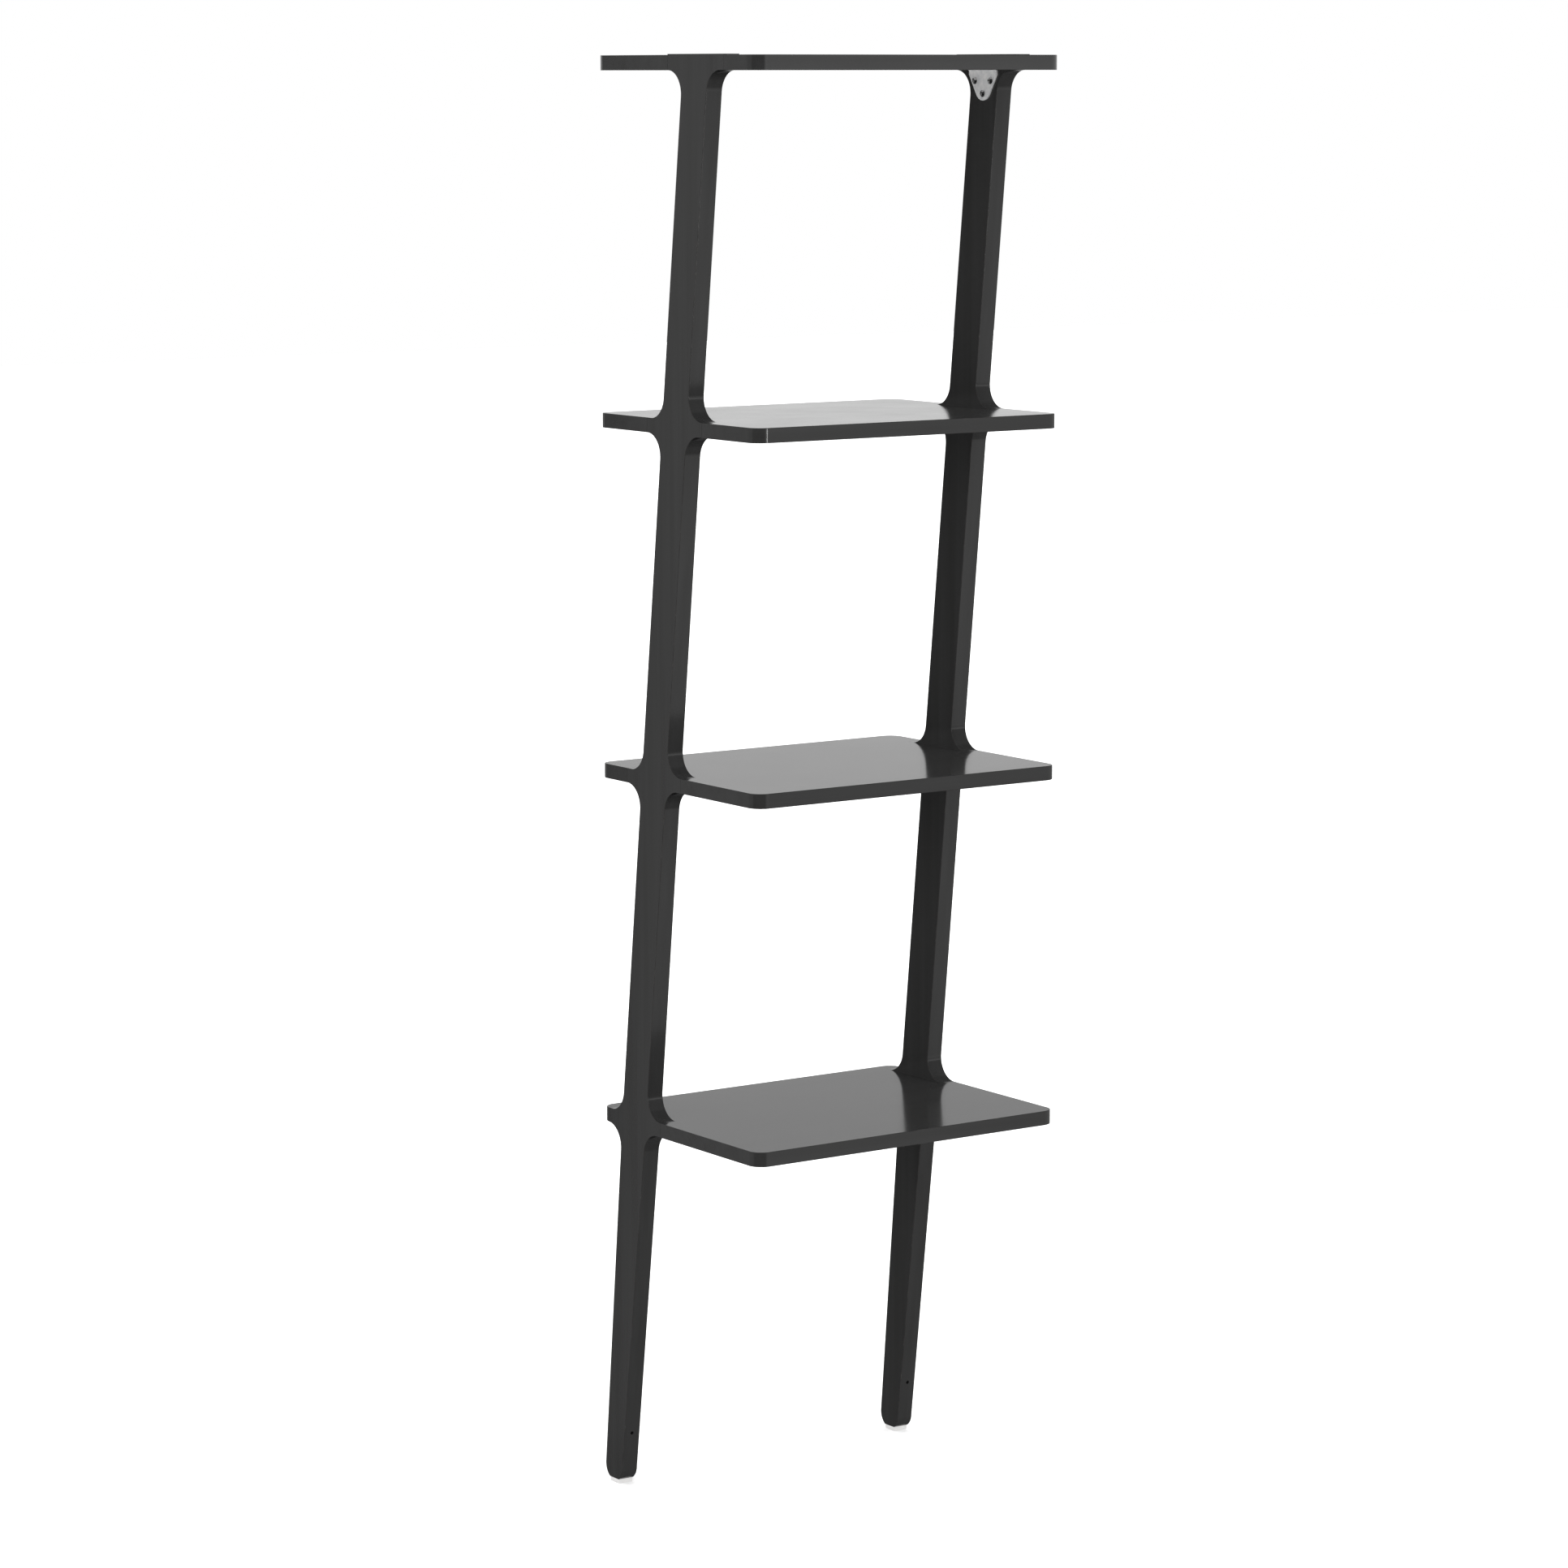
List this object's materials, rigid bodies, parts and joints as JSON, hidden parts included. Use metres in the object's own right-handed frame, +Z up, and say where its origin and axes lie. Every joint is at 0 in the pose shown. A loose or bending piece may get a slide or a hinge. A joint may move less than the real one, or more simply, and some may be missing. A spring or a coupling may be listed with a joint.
{
  "type": "ladder shelf",
  "caption": "Leaning open shelf: level boards with rounded corners, notched onto the arms of two sloping uprights with filleted joints, on pale glides.",
  "frame": {"origin": "on the floor, under the centre of the boards' outline", "axes": "+Z up; X along the boards' long side; -Y towards the wall that the shelf leans on"},
  "size_m": [0.4, 0.308, 1.583],
  "materials": {
    "black_lacquer": "satin black lacquer over fine-grained wood",
    "bracket_steel": "satin zinc-plated steel",
    "screw_steel": "zinc-plated steel",
    "fitting_zinc": "die-cast zinc",
    "beech": "bare turned beech",
    "black_plastic": "fine satin",
    "pale_plastic": "milky, slightly translucent"
  },
  "bodies": {
    "root": {"upright_left": "black_lacquer", "upright_right": "black_lacquer", "shelf_top": "black_lacquer", "shelf_upper": "black_lacquer", "shelf_lower": "black_lacquer", "shelf_bottom": "black_lacquer", "bracket_left": "bracket_steel", "bracket_right": "bracket_steel", "bracket_upright_screws_left": "screw_steel", "bracket_upright_screws_right": "screw_steel", "bracket_shelf_screws_left": "screw_steel", "bracket_shelf_screws_right": "screw_steel", "dowels_top": "beech", "dowels_upper": "beech", "dowels_lower": "beech", "dowels_bottom": "beech", "cam_bolts_upper": "fitting_zinc", "cam_bolts_lower": "fitting_zinc", "cam_bolts_bottom": "fitting_zinc", "cam_locks_upper": "fitting_zinc", "cam_locks_lower": "fitting_zinc", "cam_locks_bottom": "fitting_zinc", "cam_caps_upper": "black_plastic", "cam_caps_lower": "black_plastic", "cam_caps_bottom": "black_plastic", "glide_left": "pale_plastic", "glide_right": "pale_plastic", "glide_nail_left": "screw_steel", "glide_nail_right": "screw_steel"}
  },
  "joints": []
}
